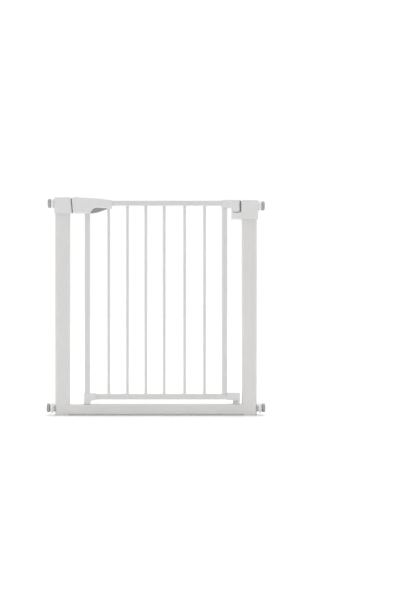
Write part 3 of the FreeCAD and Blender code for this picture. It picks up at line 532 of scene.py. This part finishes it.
post_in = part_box("right_post")[0][0] / MM
parts = []
for z, sgn in ((rail_hi, 1), (rail_lo, -1)):
    path = [(post_in - 0.25, y, z + sgn * 0.25) for y in [-6.6 + 13.2 * k / 24 for k in range(25)]]
    parts.append(swept_bead(path, 1.1))
collect("post_weld_beads", parts, "painted_leaf", "leaf")


def bar_top(y):
    a = abs(y)
    return 39.5 if a <= 7.0 else 34.5 + math.sqrt(max(0.0, 25.0 - (a - 7.0) ** 2))


parts = []
for side in (-1, 1):
    path = []
    for k in range(-40, 41):
        f = k / 40
        if abs(f) < 0.2:
            x, y = 305.0, f / 0.2 * 2.0
        else:
            a = (abs(f) - 0.2) / 0.8 * math.radians(74)
            x = 315.0 - 10.0 * math.cos(a)
            y = math.copysign(2.0 + 10.0 * math.sin(a), f)
        path.append((side * x, y, bar_top(y) - 0.15))
    parts.append(swept_bead(path, 1.15, pitch=1.9))
collect("frame_weld_beads", parts, "painted_frame", "frame")


# --------------------------------------------------- grip web in the handle
def grip_web():
    lo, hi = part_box("handle_grip_web")
    x0, x1, top = lo[0] / MM, hi[0] / MM, hi[2] / MM
    edge = [(-234.2, 716.6), (-231.0, 716.2), (-227.0, 716.3), (-222.0, 716.9), (-216.0, 717.8), (-210.0, 719.1), (-203.0, 721.1), (-197.0, 723.0), (-191.0, 725.2), (-185.0, 727.5), (-180.0, 729.4),
            (-176.5, 730.9), (-174.2, 732.2)]

    def low(x):
        for (a, za), (b, zb) in zip(edge, edge[1:]):
            if x <= b:
                u = (x - a) / (b - a)
                return za + (zb - za) * max(0.0, u)
        return edge[-1][1]

    nu = 61
    rows = []
    # one loop: down the front, round the lower edge, up the rear
    nv = 26
    verts = []
    for i in range(nu):
        x = x0 + (x1 - x0) * i / (nu - 1)
        zb = low(x)
        loop = []
        h = top - zb
        r = min(3.4, h * 0.3)
        for k in range(nv):
            u = k / (nv - 1)
            z = top - (h - r) * u
            rib = 0.28 * (0.5 - 0.5 * math.cos(2 * math.pi * (z - zb) / 2.9)) if z - zb < 16 else 0.0
            end = min(1.0, (x - x0) / 2.0, (x1 - x) / 2.0)
            y = 5.95 - 0.28 * end + rib * end - 0.28 * (1 - end)
            loop.append((x, -min(5.95, y), z))
        for k in range(1, 12):
            a = math.pi * k / 12
            loop.append((x, -5.67 * math.cos(a), zb + r - r * math.sin(a)))
        for k in range(nv):
            u = 1 - k / (nv - 1)
            z = top - (h - r) * u
            rib = 0.28 * (0.5 - 0.5 * math.cos(2 * math.pi * (z - zb) / 2.9)) if z - zb < 16 else 0.0
            end = min(1.0, (x - x0) / 2.0, (x1 - x) / 2.0)
            y = 5.95 - 0.28 * end + rib * end - 0.28 * (1 - end)
            loop.append((x, min(5.95, y), z))
        n = len(loop)
        verts += [Vector(p) * MM for p in loop]
    faces = grid_faces(nu, n)
    faces.append(tuple(range(n)))
    faces.append(tuple((nu - 1) * n + j for j in range(n)))
    o = mesh_object("grip_web", verts, faces, "grip_rubber")
    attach(o, "leaf")
    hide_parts("handle_grip_web")


grip_web()


# ------------------------------------------------------------ bolt return spring
def return_spring():
    """Wound wire, 0.8 mm, with closed and ground ends."""
    lo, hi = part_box("button_spring")
    x0, x1 = lo[0] / MM, hi[0] / MM
    zc = (lo[2] + hi[2]) / 2 / MM
    wire, coils = 0.4, 8.5
    r = (hi[1] - lo[1]) / 2 / MM - wire
    per, cols = 40, 12
    n = int(per * coils)
    verts = []
    for i in range(n + 1):
        u = i / n
        # the end coils lie closer than the rest
        w = u + 0.045 * math.sin(2 * math.pi * u) * -1.0
        x = x0 + wire + (x1 - x0 - 2 * wire) * w
        th = 2 * math.pi * coils * u
        c = Vector((x, r * math.cos(th), zc + r * math.sin(th)))
        out = Vector((0.0, math.cos(th), math.sin(th)))
        k = wire * min(1.0, 0.35 + min(i, n - i) / 6.0)
        for j in range(cols):
            a = 2 * math.pi * j / cols
            q = c + out * (k * math.cos(a)) + Vector((k * math.sin(a), 0.0, 0.0))
            q.x = min(max(q.x, x0), x1)
            verts.append(q * MM)
    faces = grid_faces(n + 1, cols)
    faces.append(tuple(range(cols)))
    faces.append(tuple(n * cols + j for j in range(cols)))
    o = mesh_object("return_spring", verts, faces, "spring_steel")
    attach(o, "leaf")
    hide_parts("button_spring")
    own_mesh(o)


return_spring()


# --------------------------------------------------------------------- stage
def stage_plane(name, verts, faces, colour, rough):
    me = bpy.data.meshes.new(name)
    me.from_pydata(verts, [], faces)
    o = bpy.data.objects.new(name, me)
    scene.collection.objects.link(o)
    m, nt, p = new_material(name)
    mottle = noise(nt, 0.9, 3.0, 0.5)
    nt.links.new(tint(nt, mottle, tuple(c * 0.992 for c in colour), colour, 0.3, 0.7), p.inputs["Base Color"])
    p.inputs["Roughness"].default_value = rough
    p.inputs["Specular IOR Level"].default_value = 0.1
    me.materials.append(m)
    return o


R = 14.0
stage_plane("floor", [(-R, -R, -0.0001), (R, -R, -0.0001), (R, R, -0.0001), (-R, R, -0.0001)], [(0, 1, 2, 3)], (0.94, 0.94, 0.94), 0.75)

world = bpy.data.worlds.new("studio")
scene.world = world
world.use_nodes = True
wt = world.node_tree
wt.nodes.clear()
wo = wt.nodes.new("ShaderNodeOutputWorld")
bg = wt.nodes.new("ShaderNodeBackground")
tc = wt.nodes.new("ShaderNodeTexCoord")
sep = wt.nodes.new("ShaderNodeSeparateXYZ")
wt.links.new(tc.outputs["Generated"], sep.inputs[0])
side = wt.nodes.new("ShaderNodeMapRange")
side.interpolation_type = "SMOOTHSTEP"
side.inputs["From Min"].default_value = -0.75
side.inputs["From Max"].default_value = 0.25
side.inputs["To Min"].default_value = 0.46
side.inputs["To Max"].default_value = 1.03
wt.links.new(sep.outputs["Y"], side.inputs["Value"])
up = wt.nodes.new("ShaderNodeMapRange")
up.interpolation_type = "SMOOTHSTEP"
up.inputs["From Min"].default_value = 0.45
up.inputs["From Max"].default_value = 0.9
up.inputs["To Min"].default_value = 1.0
up.inputs["To Max"].default_value = 1.8
wt.links.new(sep.outputs["Z"], up.inputs["Value"])
mul = wt.nodes.new("ShaderNodeMath")
mul.operation = "MULTIPLY"
wt.links.new(side.outputs["Result"], mul.inputs[0])
wt.links.new(up.outputs["Result"], mul.inputs[1])
wt.links.new(mul.outputs[0], bg.inputs["Strength"])
bg.inputs["Color"].default_value = (1.0, 1.0, 1.0, 1.0)
wt.links.new(bg.outputs[0], wo.inputs["Surface"])


def area(name, loc, aim, size, watts, colour=(1, 1, 1)):
    d = bpy.data.lights.new(name, "AREA")
    d.shape = "RECTANGLE"
    d.size, d.size_y = size
    d.energy = watts
    d.color = colour
    o = bpy.data.objects.new(name, d)
    scene.collection.objects.link(o)
    o.location = loc
    o.rotation_mode = "QUATERNION"
    o.rotation_quaternion = (Vector(aim) - Vector(loc)).to_track_quat("-Z", "Y")
    return o


area("top_softbox", (0.1, -0.4, 3.0), (0.0, 0.1, 0.0), (3.0, 3.0), 12.0)
area("left_softbox", (-2.2, -1.6, 1.7), (0.0, 0.0, 0.4), (1.2, 1.8), 2.0)

# -------------------------------------------------------------------- camera
cam = bpy.data.cameras.new("camera")
co = bpy.data.objects.new("camera", cam)
scene.collection.objects.link(co)
DIST = 2.4
EYE = 0.407                        # height of the lens, level with the middle of the view
PX = 0.003558                      # metres at the gate for one of the frame's 601 rows
cam.sensor_width = 36.0
cam.lens = 36.0 * DIST / (601 * PX)
co.location = (0.0, -DIST, EYE)
co.rotation_euler = (math.pi / 2, 0, 0)
cam.shift_x = (200.5 - 156.0) / 601
cam.clip_start, cam.clip_end = 0.05, 60.0
scene.camera = co
